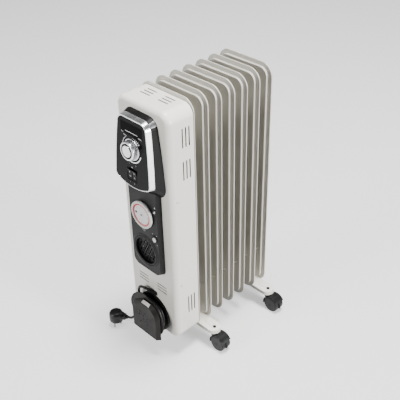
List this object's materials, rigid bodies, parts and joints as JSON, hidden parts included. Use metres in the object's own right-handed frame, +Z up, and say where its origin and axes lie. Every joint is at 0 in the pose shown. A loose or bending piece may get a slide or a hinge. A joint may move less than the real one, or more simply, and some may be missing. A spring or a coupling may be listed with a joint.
{
  "type": "oil filled radiator heater",
  "caption": "Upright finned oil heater on castors, with a leaning control console, timer dial, fan outlet, and a cord wound on a spool below.",
  "frame": {"origin": "on the floor under the middle of the heater, measured from the front of the knob to the plugs at the rear", "axes": "+Z up, -Y out of the control face, +X to the right for someone facing the controls"},
  "size_m": [0.3022, 0.369, 0.6475],
  "materials": {
    "cream_enamel": "semi-gloss powder enamel",
    "fin_enamel": "semi-gloss powder enamel, a little darker than the housing",
    "bright_steel": "zinc plated",
    "element_steel": "heat-darkened steel sheath",
    "black_satin_plastic": "fine satin texture",
    "black_gloss_plastic": "gloss",
    "satin_silver": "satin silver",
    "knob_cap_silver": "spun satin",
    "smoked_lens": "dark polished lens",
    "lamp_amber": "clear amber",
    "white_plastic": "semi-gloss",
    "black_matte_plastic": "matte",
    "castor_black": "satin nylon",
    "motor_steel": "plain steel",
    "heater_aluminium": "bare aluminium fins",
    "cord_black": "soft sheath",
    "plug_black": "moulded, satin",
    "pin_nickel": "nickel plated"
  },
  "bodies": {
    "heater": {"console_body": "black_satin_plastic", "cord_coil": "cord_black", "cord_gland": "cord_black", "cord_lead_in": "cord_black", "cord_lead_out": "cord_black", "face_plate": "black_gloss_plastic", "fan_duct": "black_satin_plastic", "fan_grille": "black_satin_plastic", "fan_motor": "motor_steel", "fan_switch_case": "black_satin_plastic", "fascia": "black_satin_plastic", "fin_1": "fin_enamel", "fin_2": "fin_enamel", "fin_3": "fin_enamel", "fin_4": "fin_enamel", "fin_5": "fin_enamel", "fin_6": "fin_enamel", "fin_7": "fin_enamel", "foot_front": "cream_enamel", "foot_rear": "cream_enamel", "header_collars": "fin_enamel", "header_plugs": "bright_steel", "heating_element": "element_steel", "housing_back_plate": "bright_steel", "housing_screws": "bright_steel", "housing_shell": "cream_enamel", "pilot_lamp": "lamp_amber", "plug_body": "plug_black", "plug_pins": "pin_nickel", "power_switch_case": "black_satin_plastic", "ptc_element": "heater_aluminium", "thermostat_case": "black_satin_plastic", "timer_case": "black_satin_plastic", "tip_switch_case": "black_satin_plastic", "trim_band": "satin_silver", "u_bolts": "bright_steel", "winder_drum": "black_matte_plastic", "winder_flange": "black_matte_plastic", "winder_plate": "black_matte_plastic", "window_lens": "smoked_lens", "wing_nuts": "bright_steel"},
    "knob": {"thermostat_shaft": "bright_steel", "thermostat_knob": "satin_silver", "knob_cap": "knob_cap_silver"},
    "power_rocker_left": {"power_rocker_left": "black_gloss_plastic"},
    "power_rocker_right": {"power_rocker_right": "black_gloss_plastic"},
    "fan_rocker": {"fan_rocker": "white_plastic"},
    "timer_dial": {"timer_dial": "white_plastic", "timer_tappets": "white_plastic"},
    "timer_override": {"timer_override": "white_plastic"},
    "fan_rotor": {"fan_rotor": "black_satin_plastic"},
    "tip_pendulum": {"tip_pendulum": "motor_steel"},
    "castor_front_left": {"castor_front_left_fork": "castor_black"},
    "wheels_front_left": {"castor_front_left_wheels": "castor_black"},
    "castor_front_right": {"castor_front_right_fork": "castor_black"},
    "wheels_front_right": {"castor_front_right_wheels": "castor_black"},
    "castor_rear_left": {"castor_rear_left_fork": "castor_black"},
    "wheels_rear_left": {"castor_rear_left_wheels": "castor_black"},
    "castor_rear_right": {"castor_rear_right_fork": "castor_black"},
    "wheels_rear_right": {"castor_rear_right_wheels": "castor_black"}
  },
  "joints": [
    {"name": "knob_turn", "type": "hinge", "parent": "heater", "child": "knob", "pos_m": [0, -0.16445, 0.54899], "axis": [0, 0.998, -0.0628], "range_deg": [0, 270]},
    {"name": "power_rocker_left_tip", "type": "hinge", "parent": "heater", "child": "power_rocker_left", "pos_m": [-0.00681, -0.16629, 0.49099], "axis": [1, 0, 0], "range_deg": [-16, 0]},
    {"name": "power_rocker_right_tip", "type": "hinge", "parent": "heater", "child": "power_rocker_right", "pos_m": [0.00681, -0.16629, 0.49099], "axis": [1, 0, 0], "range_deg": [-16, 0]},
    {"name": "fan_rocker_tip", "type": "hinge", "parent": "heater", "child": "fan_rocker", "pos_m": [0.033, -0.148, 0.331], "axis": [1, 0, 0], "range_deg": [-12, 0]},
    {"name": "timer_turn", "type": "hinge", "parent": "heater", "child": "timer_dial", "pos_m": [0, -0.148, 0.383], "axis": [0, 1, 0], "continuous": true},
    {"name": "timer_override_slide", "type": "slide", "parent": "heater", "child": "timer_override", "axis": [0, 0, 1], "range_m": [0, 0.0044]},
    {"name": "fan_spin", "type": "hinge", "parent": "heater", "child": "fan_rotor", "pos_m": [0, -0.1095, 0.284], "axis": [0, -1, 0], "continuous": true},
    {"name": "tip_swing", "type": "hinge", "parent": "heater", "child": "tip_pendulum", "pos_m": [0.044, -0.1005, 0.236], "axis": [0, 1, 0], "range_deg": [-22, 22]},
    {"name": "castor_front_left_swivel", "type": "hinge", "parent": "heater", "child": "castor_front_left", "pos_m": [-0.108, -0.04525, 0.045], "axis": [0, 0, 1], "continuous": true},
    {"name": "castor_front_left_roll", "type": "hinge", "parent": "castor_front_left", "child": "wheels_front_left", "pos_m": [-0.128, -0.04525, 0.0205], "axis": [0, 1, 0], "continuous": true},
    {"name": "castor_front_right_swivel", "type": "hinge", "parent": "heater", "child": "castor_front_right", "pos_m": [0.108, -0.04525, 0.045], "axis": [0, 0, 1], "continuous": true},
    {"name": "castor_front_right_roll", "type": "hinge", "parent": "castor_front_right", "child": "wheels_front_right", "pos_m": [0.128, -0.04525, 0.0205], "axis": [0, 1, 0], "continuous": true},
    {"name": "castor_rear_left_swivel", "type": "hinge", "parent": "heater", "child": "castor_rear_left", "pos_m": [-0.108, 0.14725, 0.045], "axis": [0, 0, 1], "continuous": true},
    {"name": "castor_rear_left_roll", "type": "hinge", "parent": "castor_rear_left", "child": "wheels_rear_left", "pos_m": [-0.128, 0.14725, 0.0205], "axis": [0, 1, 0], "continuous": true},
    {"name": "castor_rear_right_swivel", "type": "hinge", "parent": "heater", "child": "castor_rear_right", "pos_m": [0.108, 0.14725, 0.045], "axis": [0, 0, 1], "continuous": true},
    {"name": "castor_rear_right_roll", "type": "hinge", "parent": "castor_rear_right", "child": "wheels_rear_right", "pos_m": [0.128, 0.14725, 0.0205], "axis": [0, 1, 0], "continuous": true}
  ]
}
